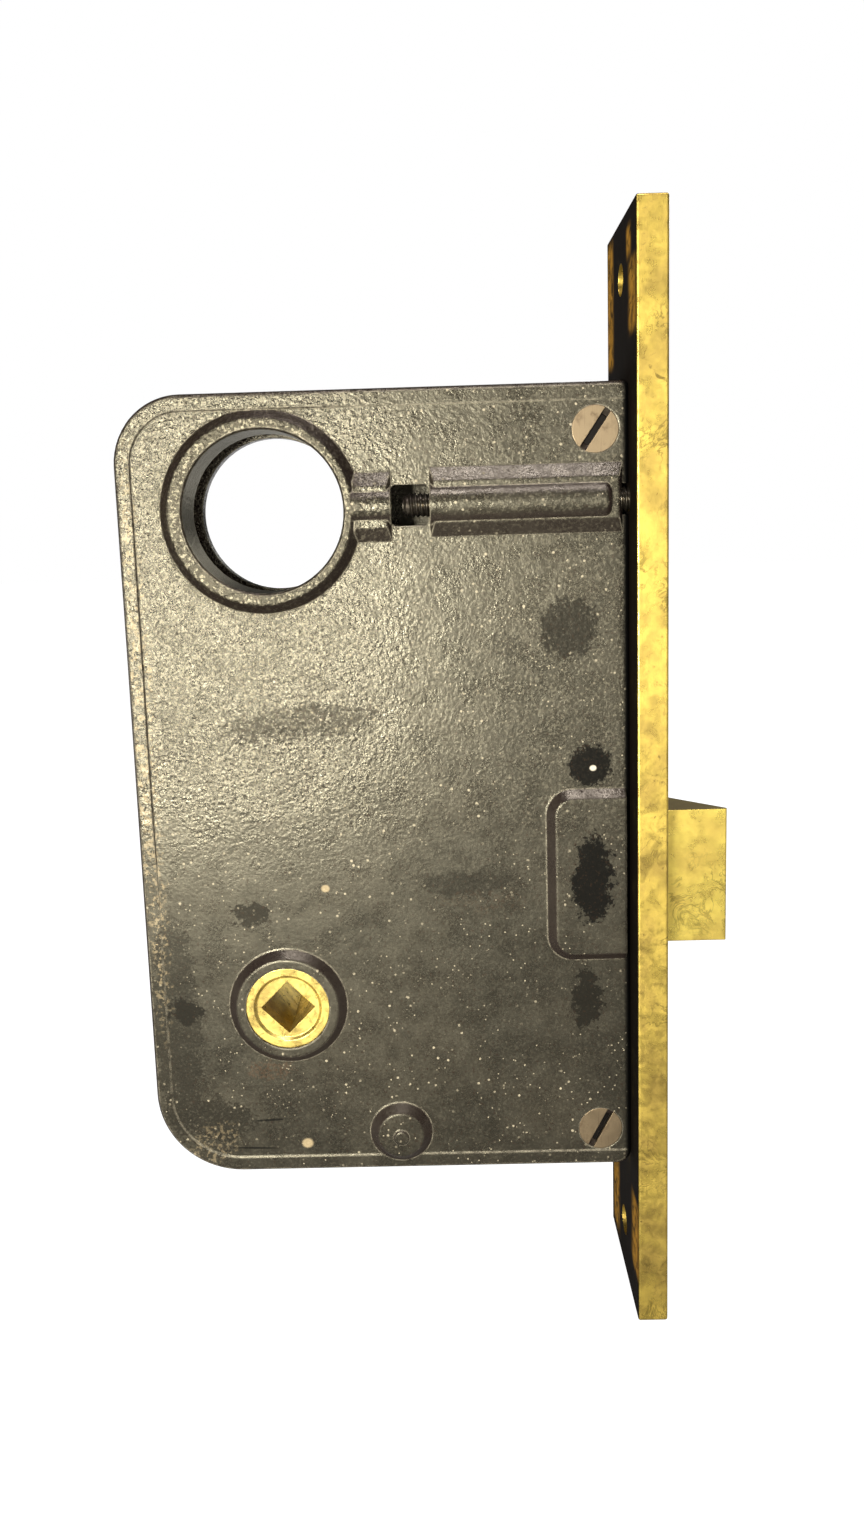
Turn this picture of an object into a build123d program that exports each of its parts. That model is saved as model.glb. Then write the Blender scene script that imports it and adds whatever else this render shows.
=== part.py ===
from build123d import *
import os
from math import atan, degrees

# Mortise lock: a cast case with a screwed-on cap, a brass front, a sprung latch bolt and the
# levers that draw it back. All sizes are millimetres.
#
# +X is the way the latch bolt projects, +Y runs through the lock from the case side to the cap
# side, and +Z is up. The origin is the middle of the front's rear face, which seats on the door.

# ---- Brass front -------------------------------------------------------------------------
front_length = 203.2
front_width = 31.75
front_thickness = 5.56
front_edge_round = 0.45
face_screw_spacing = 182.8
face_screw_hole_r = 2.8
face_screw_sink_r = 5.3
face_screw_sink_depth = 2.5
lug_depth = 10.4
lug_half_height = 4.5
lug_clearance = 0.2

# ---- Case and cap ------------------------------------------------------------------------
case_depth = 91.0
case_top = 73.0
case_bottom = -73.8
case_thickness = 17.5
edge_wall = 2.8
side_wall = 2.4
front_wall = 2.4
cap_thickness = 2.0
rear_top_r = 12.3
rear_bottom_r = 16.0
front_top_r = 1.2
front_bottom_r = 2.6
cast_round = 1.0
case_near = -case_thickness / 2
case_far = case_thickness / 2
case_floor = case_near + side_wall
cap_seat = case_far - cap_thickness
bead_width = 3.1
bead_height = 0.45
low_bead_height = 0.15
bead_setback = 0.6
bead_top_end = -34.0
bead_rear_end = -26.0
fade_length = 22.0

# ---- Cylinder hole and hub ----------------------------------------------------------------
backset_x = -64.65
cylinder_z = 52.1
cylinder_r = 14.25
cylinder_mouth = 0.4
cylinder_ring_r = 16.3
cylinder_ring_foot_r = 18.0
cylinder_ring_shift = -0.5
cylinder_ring_height = 1.6
cylinder_collar_r = 17.0
cylinder_collar_end = -0.95
cap_ring_height = 0.8
hub_z = -40.1
hub_r = 7.85
hub_play = 0.06
hub_lip_r = 9.6
hub_lip_foot_r = 11.2
hub_lip_height = 1.5
hub_recess = 0.3
hub_core_r = 8.4
hub_core_play = 0.35
hub_flat = 6.9
hub_ear = 13.5
hub_ear_front = 0.9
hub_ear_round = 1.2
hub_dish_r = 6.4
hub_dish_depth = 0.5
spindle_side = 7.2

# ---- Latch bolt and tail -------------------------------------------------------------------
latch_z = -17.3
latch_height = 25.4
latch_thickness = 12.7
latch_projection = 12.74
latch_travel = 12.6
latch_tip = 0.75
latch_play = 0.2
latch_edge = 0.3
latch_block_height = 28.0
latch_block_rear = -14.0
latch_block_front = -2.5
latch_pocket_depth = 0.5
latch_end_room = 1.0
latch_rail_top = 2.0
tail_side = 5.0
tail_front_tenon_r = 2.0
tail_front_tenon = 7.8
tail_rear_tenon_r = 1.8
tail_rivet = 0.9
bolt_pin_r = 1.0
bolt_pin_x = -10.0
crosshead_front = -68.0
crosshead_thickness = 4.0
crosshead_half_width = 5.8
crosshead_half_height = 3.2
crosshead_round = 1.0
guide_front = -44.0
guide_thickness = 2.2
guide_half_height = 10.0
guide_near_gap = 0.05
guide_far_gap = 0.35
guide_rib_length = 4.5
guide_rib_height = 2.0
guide_rib_width = 2.0
spring_washer_r = 6.0
spring_washer_hole_r = 3.9
spring_washer_thickness = 0.8
latch_spring_mean_r = 4.85
latch_spring_wire_r = 0.5
latch_spring_turns = 12
latch_pad_rear = -15.5
latch_pad_top = 0.5
latch_pad_bottom = -32.3
latch_pad_height = 1.5
latch_pad_corner_r = 4.8
latch_pad_front = -0.9
pad_slope = 48
pad_round = 0.4

# ---- Levers --------------------------------------------------------------------------------
lever_thickness = 2.8
lever_side_gap = 0.4
lever_hole_play = 0.06
cylinder_lever_z = 10.0
cylinder_lever_width = 6.8
cylinder_lever_eye_r = 5.5
cylinder_lever_reach = 27.4
drive_pin_r = 1.6
drive_pin_shank_r = 1.2
drive_pin_end = 6.1
fork_play = 0.36
fork_root = 24.6
fork_end = 30.5
stud_r = 2.2
stud_shoulder_r = 3.5
stud_root = 1.6
stud_head_thickness = 1.0
hub_lever_x = -79.0
hub_lever_z = -55.0
hub_lever_eye_r = 5.0
hub_lever_face = -72.05
hub_lever_back = -76.5
hub_lever_nose_r = 2.4
hub_lever_nose_gap = 0.8
hub_lever_nose_drop = 1.2
lever_washer_r = 4.2
lever_washer_thickness = 0.4
hub_spring_y = -3.5
hub_spring_z = -42.0
hub_spring_mean_r = 2.3
hub_spring_wire_r = 0.35
hub_spring_turns = 7
hub_spring_post_r = 1.5
hub_spring_post_length = 3.0

# ---- Cylinder set screw and its channel -----------------------------------------------------
set_screw_y = -7.65
set_screw_z = 52.6
set_screw_r = 2.2
set_screw_play = 0.06
set_screw_tip = -40.0
set_screw_head = 4.5
set_screw_slot_turn = 35
ridge_r = 3.9
ridge_rear = -35.2
ridge_front = -3.2
bed_foot_half = 6.1
bed_top_half = 3.6
bed_height = 1.4
bed_end_slope = 28
bed_front = -1.2
long_bed_lift = 0.4
short_bed_drop = 0.2
short_ridge_r = 3.5
short_block_rear = -49.2
set_screw_hole_end = -51.0
short_block_front = -42.0
window_x = (-42.05, -35.45)
window_z = (49.0, 56.2)
window_corner_r = 0.9
front_notch_depth = 1.3
front_notch_half = 2.75

# ---- Screws ---------------------------------------------------------------------------------
upper_lug_z = 64.8
lower_lug_z = -66.3
lug_screw_x = -5.9
lug_screw_head_r = 4.15
lug_screw_shank_r = 2.0
lug_screw_tip_y = 0.7
upper_slot_angle = 56
lower_slot_angle = 62
sink_depth = 1.8
screw_gap = 0.02
slot_width = 1.2
slot_depth = 1.0
cap_screw_places = [(-44.1, -66.1), (-84.2, 4.0), (-83.5, 63.5), (-24.0, 66.0)]
cap_slot_angles = [20, -35, 70, 5]
cap_screw_head_r = 3.4
cap_screw_shank_r = 1.6
cap_screw_tip_y = -2.0
cap_post_r = 5.2
post_boss_foot_r = 6.0
post_boss_r = 4.3
post_boss_height = 1.5
post_pip_r = 1.5
post_pip_height = 0.45

# ---- Places worked out from the sizes above --------------------------------------------------
drive_pin_x = backset_x + latch_travel / 2
cylinder_lever_lean = degrees(atan((latch_travel / 2) / (cylinder_lever_z - latch_z)))
far_lever_y = tail_side / 2 + lever_side_gap
near_lever_y = -far_lever_y - lever_thickness
latch_front_x = front_thickness + latch_projection
overcut = 4.0
through = (-2 * case_thickness, 2 * case_thickness)


def slab(x_span, y_span, z_span):
    """A box between two values on each axis."""
    spans = (x_span, y_span, z_span)
    middle = [(low + high) / 2 for low, high in spans]
    return Pos(*middle) * Box(*[high - low for low, high in spans])


def pin_y(x, z, radius, y_span):
    """A round pin along Y."""
    near, far = y_span
    return Pos(x, (near + far) / 2, z) * Rot(-90, 0, 0) * Cylinder(radius, far - near)


def pin_x(y, z, radius, x_span):
    """A round pin along X."""
    low, high = x_span
    return Pos((low + high) / 2, y, z) * Rot(0, 90, 0) * Cylinder(radius, high - low)


def cone_y(x, z, near_r, far_r, y_span):
    """A cone along Y, with near_r at the first Y and far_r at the second."""
    near, far = y_span
    return Pos(x, (near + far) / 2, z) * Rot(-90, 0, 0) * Cone(near_r, far_r, far - near)


def across(profile, y_span, slope=0, toward=-1):
    """A profile drawn in X and Z, carried along Y; a slope narrows it towards -Y or, at 1, +Y."""
    near, far = y_span
    start = far if toward < 0 else near
    return extrude(Plane.XZ.offset(-start) * profile, far - near, dir=(0, toward, 0), taper=slope)


def rectangle(x_span, z_span):
    """A rectangle drawn in X and Z."""
    (left, right), (low, high) = x_span, z_span
    return Pos((left + right) / 2, (low + high) / 2) * Rectangle(right - left, high - low)


def edges_at(solid, y):
    """The solid's edges that lie at one Y."""
    return solid.edges().filter_by_position(Axis.Y, y - 0.01, y + 0.01)


def coil_x(y, z, mean_r, wire_r, turns, x_span):
    """A coil spring along X that fills the span."""
    low, high = x_span[0] + wire_r, x_span[1] - wire_r
    path = Helix((high - low) / turns, high - low, mean_r)
    section = Plane(path @ 0, z_dir=path % 0) * Circle(wire_r)
    return Pos(low, y, z) * Rot(0, 90, 0) * sweep(section, path, is_frenet=True)


# ---- Case --------------------------------------------------------------------------------------
def case_profile(inset=0.0, front_inset=0.0):
    """The case's outline in X and Z, drawn in by an inset, with its two large rear corners."""
    left, right = inset - case_depth, -front_inset
    low, high = case_bottom + inset, case_top - inset
    corners = [(left, high), (right, high), (right, low), (left, low)]
    radii = [rear_top_r - inset, front_top_r, front_bottom_r, rear_bottom_r - inset]
    return make_face(FilletPolyline(*corners, radius=radii, close=True))


def rounded_case_blank(y_span, outer_y, rounding):
    """A solid of the case's outline, with its edges at outer_y rounded."""
    blank = across(case_profile(), y_span)
    return fillet(edges_at(blank, outer_y), rounding)


def bead(height):
    """A band just inside the outline on the case's near face, with its two long top edges rounded."""
    outer, inner = case_profile(bead_setback, bead_setback), case_profile(bead_width, -overcut)
    band = across(outer - inner, (case_near - height, case_near + side_wall / 2))
    top_edges = edges_at(band, case_near - height)
    return fillet(top_edges.sort_by(SortBy.LENGTH)[-2:], height / 2)


def fading_bead():
    """The tall bead round the rear top corner: it sinks into the face along the top and the rear."""
    band = bead(bead_height)
    fade = degrees(atan(bead_height / fade_length))
    wedge = Pos(0, -overcut, 0) * Box(2 * case_depth, 2 * overcut, 3 * case_depth)
    along_top = Pos(bead_top_end, case_near, 0) * Rot(0, 0, fade) * wedge
    down_rear = Pos(0, case_near, bead_rear_end) * Rot(fade, 0, 0) * wedge
    return band - along_top - down_rear


def cast_boss(x, z, foot_r, top_r, face_y, height, toward=-1):
    """A round boss with sloping sides and a softened top edge."""
    top_y = face_y + toward * height
    if toward < 0:
        boss = cone_y(x, z, top_r, foot_r, (top_y, face_y))
    else:
        boss = cone_y(x, z, foot_r, top_r, (face_y, top_y))
    return fillet(edges_at(boss, top_y), height / 3)


def cylinder_ring(face_y, height, toward):
    """The cast ring round the cylinder hole, which stands a little off the hole's centre."""
    x = backset_x + cylinder_ring_shift
    return cast_boss(x, cylinder_z, cylinder_ring_foot_r, cylinder_ring_r, face_y, height, toward)


def cylinder_hole(y_span):
    """The round way for the lock cylinder, with a broken edge at both outer mouths."""
    near, far = y_span
    way = pin_y(backset_x, cylinder_z, cylinder_r, (near - overcut, far + overcut))
    wide = cylinder_r + cylinder_mouth
    if near < case_near:
        way += cone_y(backset_x, cylinder_z, wide, cylinder_r, (near, near + cylinder_mouth))
    if far > case_far:
        way += cone_y(backset_x, cylinder_z, cylinder_r, wide, (far - cylinder_mouth, far))
    return way


def post_end_boss():
    """The sloped boss and pip outside the case where the lower cap-screw post stands."""
    x, z = cap_screw_places[0]
    boss = cast_boss(x, z, post_boss_foot_r, post_boss_r, case_near, post_boss_height)
    top_y = case_near - post_boss_height
    pip = pin_y(x, z - post_pip_height, post_pip_r, (top_y - post_pip_height, top_y))
    return boss + fillet(pip.edges().sort_by(Axis.Y)[0], post_pip_height * 0.9)


def ridge_bed(x_span, centre_z):
    """The bed that a ridge for the set screw stands on: long sloping sides and steep ends."""
    near = case_near - bed_height
    left, right = x_span
    foot, top = bed_foot_half, bed_top_half
    section = make_face(Polyline((case_near, -foot), (near, -top), (near, top), (case_near, foot), close=True))
    bed = Pos(left, 0, centre_z) * extrude(Plane.YZ * section, right - left)
    ends = rectangle(x_span, (centre_z - 2 * foot, centre_z + 2 * foot))
    bed = bed & across(ends, (near, case_near), bed_end_slope)
    return fillet(edges_at(bed, near), pad_round)


def set_screw_channel():
    """The long ridge from the front to the window, and the short one on to the cylinder ring."""
    long_ridge = pin_x(set_screw_y, set_screw_z, ridge_r, (ridge_rear, ridge_front))
    long_ridge = fillet(long_ridge.edges().sort_by(Axis.X)[-1], ridge_r / 3)
    short_ridge = pin_x(set_screw_y, set_screw_z, short_ridge_r, (short_block_rear, short_block_front))
    long_bed = ridge_bed((ridge_rear, bed_front), set_screw_z + long_bed_lift)
    short_bed = ridge_bed((short_block_rear, short_block_front), set_screw_z - short_bed_drop)
    return [long_ridge, short_ridge, long_bed, short_bed]


def latch_pad():
    """The raised pad over the latch bolt, open at the case's front edge."""
    profile = rectangle((latch_pad_rear, overcut), (latch_pad_bottom, latch_pad_top))
    rear = profile.vertices().sort_by(Axis.X)[:2]
    pad = across(fillet(rear, latch_pad_corner_r), (case_near - latch_pad_height, case_near), pad_slope)
    pad = fillet(edges_at(pad, case_near - latch_pad_height), pad_round)
    return pad - slab((latch_pad_front, 2 * overcut), (case_near - overcut, case_near + 1), (-case_depth, case_depth))


def bolt_slot(play, x_span, y_span):
    """The way through the front and the case's front wall for the latch bolt."""
    half = latch_height / 2 + play
    return slab(x_span, y_span, (latch_z - half, latch_z + half))


def guide_ribs():
    """Two pairs of cast ribs that hold the tail guide's ends."""
    ribs = []
    for end in (-1, 1):
        middle = latch_z + end * (guide_half_height - guide_rib_length / 4)
        z_span = (middle - guide_rib_length / 2, middle + guide_rib_length / 2)
        x_span = (guide_front - guide_thickness - guide_rib_width, guide_front + guide_rib_width)
        ribs.append(slab(x_span, (case_floor - 1, case_floor + guide_rib_height), z_span))
    slot = slab(
        (guide_front - guide_thickness - lug_clearance, guide_front + lug_clearance),
        (case_floor, case_floor + overcut),
        (latch_z - 2 * guide_half_height, latch_z + 2 * guide_half_height),
    )
    return [rib - slot for rib in ribs]


def latch_rails():
    """Cast rails above and below the latch bolt's block, which keep it on its line."""
    rail_x = (latch_block_rear - latch_travel - latch_end_room, -front_wall / 2)
    rails = []
    for side in (-1, 1):
        inner = latch_z + side * (latch_block_height / 2 + latch_play)
        outer = inner + side * front_wall
        rails.append(slab(rail_x, (case_floor - 1, latch_rail_top), (min(inner, outer), max(inner, outer))))
    return rails


def case_cavity():
    """The space inside the case, with a shallow pocket for the latch bolt's block."""
    cavity = across(case_profile(edge_wall, front_wall), (case_floor, case_far + 1))
    half = latch_block_height / 2 + latch_play
    pocket = slab(
        (latch_block_rear - latch_travel - latch_end_room, -front_wall),
        (case_floor - latch_pocket_depth, case_floor + 1),
        (latch_z - half, latch_z + half),
    )
    return cavity, pocket


def lug_opening(lug_z):
    """The way through the case's front wall for one lug of the front."""
    half = lug_half_height + lug_clearance
    return slab((-front_wall - 1, 1), (case_floor, case_far), (lug_z - half, lug_z + half))


def countersunk_hole(x, z, face_y, toward, head_r, shank_r, depth):
    """A screw's countersink and clearance hole, cut from face_y inwards."""
    head_r, shank_r = head_r + screw_gap, shank_r + screw_gap
    bottom = face_y - toward * sink_depth
    if toward < 0:
        sink = cone_y(x, z, head_r, shank_r, (face_y, bottom))
        return sink + pin_y(x, z, shank_r, (face_y, face_y + depth))
    sink = cone_y(x, z, shank_r, head_r, (bottom, face_y))
    return sink + pin_y(x, z, shank_r, (face_y - depth, face_y))


def lug_screw_holes(face_y, toward, depth):
    """The two countersunk holes by the front on one side of the lock."""
    size = (lug_screw_head_r, lug_screw_shank_r, depth)
    return [countersunk_hole(lug_screw_x, z, face_y, toward, *size) for z in (upper_lug_z, lower_lug_z)]


def set_screw_way():
    """The hole for the set screw, with the window and the gap by the front that show it."""
    hole_r = set_screw_r + set_screw_play
    hole = pin_x(set_screw_y, set_screw_z, hole_r, (set_screw_hole_end, front_thickness + 1))
    window = fillet(rectangle(window_x, window_z).vertices(), window_corner_r)
    window = across(window, (case_near - overcut, case_floor + overcut))
    notch = slab(
        (-front_notch_depth, 1),
        (case_near - overcut, set_screw_y + hole_r),
        (set_screw_z - front_notch_half, set_screw_z + front_notch_half),
    )
    return hole, window, notch


def case_body():
    """The cast case: near wall, four edge walls, and everything cast on them."""
    body = rounded_case_blank((case_near, cap_seat), case_near, cast_round)
    cavity, pocket = case_cavity()
    body -= cavity
    for x, z in cap_screw_places:
        body += pin_y(x, z, cap_post_r, (case_floor - 1, cap_seat))
    body = body + latch_rails() + guide_ribs() - pocket
    collar = pin_y(backset_x, cylinder_z, cylinder_collar_r, (case_floor - 1, cylinder_collar_end))
    spring_post_end = edge_wall - case_depth + hub_spring_post_length
    spring_post = (hub_spring_y, hub_spring_z, hub_spring_post_r, (edge_wall / 2 - case_depth, spring_post_end))
    body = body + collar + pin_x(*spring_post)
    body = body + bead(low_bead_height) + fading_bead() + post_end_boss() + latch_pad()
    body += cylinder_ring(case_near, cylinder_ring_height, -1)
    body += cast_boss(backset_x, hub_z, hub_lip_foot_r, hub_lip_r, case_near, hub_lip_height)
    body += set_screw_channel()
    near_mouth = case_near - cylinder_ring_height
    body -= cylinder_hole((near_mouth, cylinder_collar_end))
    body -= pin_y(backset_x, hub_z, hub_r + hub_play, (case_near - overcut, case_floor + 1))
    body -= bolt_slot(latch_play, (-front_wall - 1, 1), (-latch_thickness / 2 - latch_play, case_far))
    for lug_z in (upper_lug_z, lower_lug_z):
        body -= lug_opening(lug_z)
    for hole in lug_screw_holes(case_near, -1, side_wall + 1):
        body -= hole
    for x, z in cap_screw_places:
        body -= pin_y(x, z, cap_screw_shank_r + screw_gap, (cap_screw_tip_y - 1, cap_seat + 1))
    for x, z in ((backset_x, cylinder_lever_z), (hub_lever_x, hub_lever_z)):
        body -= pin_y(x, z, stud_r, (case_floor - stud_root, case_floor + 1))
    for cut in set_screw_way():
        body -= cut
    return body


def case_cap():
    """The flat cast cap over the far side, with its own cylinder ring and hub lip."""
    cap = rounded_case_blank((cap_seat, case_far), case_far, cast_round)
    cap += cylinder_ring(case_far, cap_ring_height, 1)
    cap += cast_boss(backset_x, hub_z, hub_lip_foot_r, hub_lip_r, case_far, cap_ring_height, 1)
    cap -= cylinder_hole((cap_seat, case_far + cap_ring_height))
    cap -= pin_y(backset_x, hub_z, hub_r + hub_play, (cap_seat - 1, case_far + overcut))
    for hole in lug_screw_holes(case_far, 1, cap_thickness + 1):
        cap -= hole
    for x, z in cap_screw_places:
        cap -= countersunk_hole(x, z, case_far, 1, cap_screw_head_r, cap_screw_shank_r, cap_thickness + 1)
    return cap


# ---- Screws --------------------------------------------------------------------------------------
def flat_screw(x, z, face_y, toward, head_r, shank_r, tip_y, slot_angle):
    """A slotted countersunk screw whose head is level with face_y."""
    bottom = face_y - toward * sink_depth
    if toward < 0:
        head = cone_y(x, z, head_r, shank_r, (face_y, bottom))
    else:
        head = cone_y(x, z, shank_r, head_r, (bottom, face_y))
    shank = pin_y(x, z, shank_r, (min(bottom, tip_y), max(bottom, tip_y)))
    slot = Pos(x, face_y, z) * Rot(0, -slot_angle, 0) * Box(3 * head_r, 2 * slot_depth, slot_width)
    return head + shank - slot


def lug_screws():
    """The four screws that hold the front's lugs, two from each side."""
    places = ((upper_lug_z, upper_slot_angle), (lower_lug_z, lower_slot_angle))
    size = (lug_screw_head_r, lug_screw_shank_r)
    near = [flat_screw(lug_screw_x, z, case_near, -1, *size, -lug_screw_tip_y, turn) for z, turn in places]
    far = [flat_screw(lug_screw_x, z, case_far, 1, *size, lug_screw_tip_y, -turn) for z, turn in places]
    return near + far


def cap_screws():
    """The four screws that hold the cap on the case's posts."""
    size = (cap_screw_head_r, cap_screw_shank_r, cap_screw_tip_y)
    slotted = zip(cap_screw_places, cap_slot_angles)
    return [flat_screw(x, z, case_far, 1, *size, angle) for (x, z), angle in slotted]


def cylinder_set_screw():
    """The long slotted screw that locks the cylinder, drawn back clear of the cylinder hole."""
    screw = pin_x(set_screw_y, set_screw_z, set_screw_r, (set_screw_tip, set_screw_head))
    screw = chamfer(screw.edges().sort_by(Axis.X)[0], set_screw_r / 3)
    slot = Box(2 * slot_depth, 3 * set_screw_r, slot_width)
    slot = Pos(set_screw_head, set_screw_y, set_screw_z) * Rot(set_screw_slot_turn, 0, 0) * slot
    return screw - slot


# ---- Front ---------------------------------------------------------------------------------------
def face_screw_hole(z):
    """One countersunk hole for the wood screws that hold the lock in the door's edge."""
    sink_start = front_thickness - face_screw_sink_depth
    hole = pin_x(0, z, face_screw_hole_r, (-1, front_thickness + 1))
    sink = Pos((sink_start + front_thickness) / 2, 0, z) * Rot(0, 90, 0)
    return hole + sink * Cone(face_screw_hole_r, face_screw_sink_r, face_screw_sink_depth)


def front_plate():
    """The brass front with the two lugs that go inside the case."""
    plate = slab(
        (0, front_thickness),
        (-front_width / 2, front_width / 2),
        (-front_length / 2, front_length / 2),
    )
    plate = fillet(plate.edges(), front_edge_round)
    for lug_z in (upper_lug_z, lower_lug_z):
        lug = slab(
            (-lug_depth, 1),
            (case_floor + lug_clearance, cap_seat - lug_clearance),
            (lug_z - lug_half_height, lug_z + lug_half_height),
        )
        plate += lug
        plate -= pin_y(lug_screw_x, lug_z, lug_screw_shank_r + screw_gap, (case_near, case_far))
    half = latch_thickness / 2 + latch_play
    plate -= bolt_slot(latch_play, (-1, front_thickness + 1), (-half, half))
    for side in (-1, 1):
        plate -= face_screw_hole(side * face_screw_spacing / 2)
    plate -= pin_x(set_screw_y, set_screw_z, set_screw_r + set_screw_play, (-1, front_thickness + 1))
    return plate


# ---- Latch bolt and tail ---------------------------------------------------------------------------
def latch_bolt():
    """The bevelled brass bolt and the deeper block behind it that stops against the front wall."""
    half = latch_thickness / 2
    bevel_end = latch_front_x - (latch_thickness - latch_tip)
    corners = [
        (latch_block_rear, -half),
        (latch_front_x, -half),
        (latch_front_x, -half + latch_tip),
        (bevel_end, half),
        (latch_block_rear, half),
    ]
    plan = make_face(Polyline(*corners, close=True))
    bolt = Pos(0, 0, latch_z - latch_height / 2) * extrude(plan, latch_height, dir=(0, 0, 1))
    bolt = fillet(bolt.edges().filter_by(Axis.Z).sort_by(Axis.X)[-2:], latch_edge)
    block = slab(
        (latch_block_rear, latch_block_front),
        (-half, half),
        (latch_z - latch_block_height / 2, latch_z + latch_block_height / 2),
    )
    tenon_x = (latch_block_rear - 1, latch_block_rear + tail_front_tenon + screw_gap)
    bolt = bolt + block - pin_x(0, latch_z, tail_front_tenon_r + screw_gap, tenon_x)
    return bolt - pin_y(bolt_pin_x, latch_z, bolt_pin_r, through)


def latch_tail():
    """The square steel tail with a round tenon at each end."""
    half = tail_side / 2
    tail = slab((crosshead_front, latch_block_rear), (-half, half), (latch_z - half, latch_z + half))
    tail += pin_x(0, latch_z, tail_front_tenon_r, (latch_block_rear, latch_block_rear + tail_front_tenon))
    rear = crosshead_front - crosshead_thickness - tail_rivet
    tail += pin_x(0, latch_z, tail_rear_tenon_r, (rear, crosshead_front))
    tail -= pin_y(bolt_pin_x, latch_z, bolt_pin_r, through)
    return tail - pin_y(drive_pin_x, latch_z, drive_pin_shank_r, through)


def latch_bolt_pin():
    """The cross pin that holds the tail in the bolt."""
    return pin_y(bolt_pin_x, latch_z, bolt_pin_r - screw_gap, (-latch_thickness / 2, latch_thickness / 2))


def latch_crosshead():
    """The steel bar riveted on the tail's end, which the hub lever draws back."""
    bar = slab(
        (crosshead_front - crosshead_thickness, crosshead_front),
        (-crosshead_half_width, crosshead_half_width),
        (latch_z - crosshead_half_height, latch_z + crosshead_half_height),
    )
    bar = fillet(bar.edges().filter_by(Axis.X), crosshead_round)
    rear = crosshead_front - crosshead_thickness
    return bar - pin_x(0, latch_z, tail_rear_tenon_r + screw_gap, (rear - 1, crosshead_front + 1))


def tail_drive_pin():
    """The pin on the tail that the cylinder lever's fork stands over."""
    half = tail_side / 2
    shank = pin_y(drive_pin_x, latch_z, drive_pin_shank_r - screw_gap, (-half, half))
    return shank + pin_y(drive_pin_x, latch_z, drive_pin_r, (half, drive_pin_end))


def tail_guide():
    """The steel plate in the case that the tail slides through."""
    plate = slab(
        (guide_front - guide_thickness, guide_front),
        (case_floor + guide_near_gap, cap_seat - guide_far_gap),
        (latch_z - guide_half_height, latch_z + guide_half_height),
    )
    half = tail_side / 2 + latch_play
    return plate - slab((guide_front - overcut, guide_front + 1), (-half, half), (latch_z - half, latch_z + half))


def spring_washer():
    """The washer between the tail guide and the latch spring."""
    x_span = (guide_front, guide_front + spring_washer_thickness)
    ring = pin_x(0, latch_z, spring_washer_r, x_span)
    return ring - pin_x(0, latch_z, spring_washer_hole_r, (guide_front - 1, guide_front + overcut))


def latch_spring():
    """The coil spring on the tail, between the washer and the bolt."""
    x_span = (guide_front + spring_washer_thickness, latch_block_rear)
    return coil_x(0, latch_z, latch_spring_mean_r, latch_spring_wire_r, latch_spring_turns, x_span)


# ---- Hub and its lever --------------------------------------------------------------------------------
def hub():
    """The brass hub: two journals, an eared core and the square way for the knob's spindle."""
    core_y = (case_floor + hub_core_play, cap_seat - hub_core_play)
    ears = rectangle((-hub_flat, -hub_ear_front), (-hub_ear, hub_ear))
    ears = fillet(ears.vertices().sort_by(Axis.X)[:2], hub_ear_round)
    core = across(Circle(hub_core_r) & rectangle((-hub_flat, hub_core_r), (-hub_core_r, hub_core_r)), core_y)
    near_end = case_near - hub_lip_height + hub_recess
    far_end = case_far + cap_ring_height - hub_recess
    body = core + across(ears, core_y)
    body = body + pin_y(0, 0, hub_r, (near_end, core_y[0])) + pin_y(0, 0, hub_r, (core_y[1], far_end))
    dish_floor_r = hub_dish_r - hub_dish_depth
    body -= cone_y(0, 0, hub_dish_r, dish_floor_r, (near_end, near_end + hub_dish_depth))
    body -= cone_y(0, 0, dish_floor_r, hub_dish_r, (far_end - hub_dish_depth, far_end))
    body -= across(Rot(0, 0, 45) * Rectangle(spindle_side, spindle_side), through)
    return Pos(backset_x, 0, hub_z) * body


def hub_lever():
    """The bent lever that the hub's ears push and whose nose draws the crosshead back."""
    nose_x = crosshead_front + hub_lever_nose_gap + hub_lever_nose_r
    nose_z = latch_z - hub_lever_nose_drop
    arm_low = hub_z + hub_ear + 0.4
    outline = [
        (hub_lever_x + hub_lever_eye_r - 0.4, hub_lever_z + 2),
        (hub_lever_face, hub_lever_z + 7),
        (hub_lever_face, arm_low),
        (nose_x - 1, arm_low + 1),
        (nose_x + hub_lever_nose_r, nose_z - 2.5),
        (nose_x + hub_lever_nose_r, nose_z),
        (nose_x - hub_lever_nose_r, nose_z),
        (nose_x - hub_lever_nose_r, nose_z - 3.3),
        (crosshead_front - 2.5, arm_low + 3.5),
        (hub_lever_back + 1.5, arm_low + 3.5),
        (hub_lever_back, arm_low + 2),
        (hub_lever_back, hub_lever_z + 9.5),
        (hub_lever_x - hub_lever_eye_r + 0.2, hub_lever_z + 1),
    ]
    profile = make_face(Polyline(*outline, close=True))
    profile += Pos(nose_x, nose_z) * Circle(hub_lever_nose_r)
    profile += Pos(hub_lever_x, hub_lever_z) * Circle(hub_lever_eye_r)
    lever = across(profile, (near_lever_y, near_lever_y + lever_thickness))
    return lever - pin_y(hub_lever_x, hub_lever_z, stud_r + lever_hole_play, through)


def hub_lever_washer():
    """The thin washer between the case and the hub lever."""
    near = near_lever_y - lever_side_gap / 2
    y_span = (near - lever_washer_thickness, near)
    ring = pin_y(hub_lever_x, hub_lever_z, lever_washer_r, y_span)
    return ring - pin_y(hub_lever_x, hub_lever_z, stud_r, through)


def hub_lever_stud():
    """The headed pivot riveted into the case for the hub lever."""
    head_y = near_lever_y + lever_thickness + lever_side_gap
    pivot = pin_y(hub_lever_x, hub_lever_z, stud_r, (case_floor - stud_root, head_y))
    head = pin_y(hub_lever_x, hub_lever_z, stud_shoulder_r, (head_y, head_y + stud_head_thickness))
    return pivot + head


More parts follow.
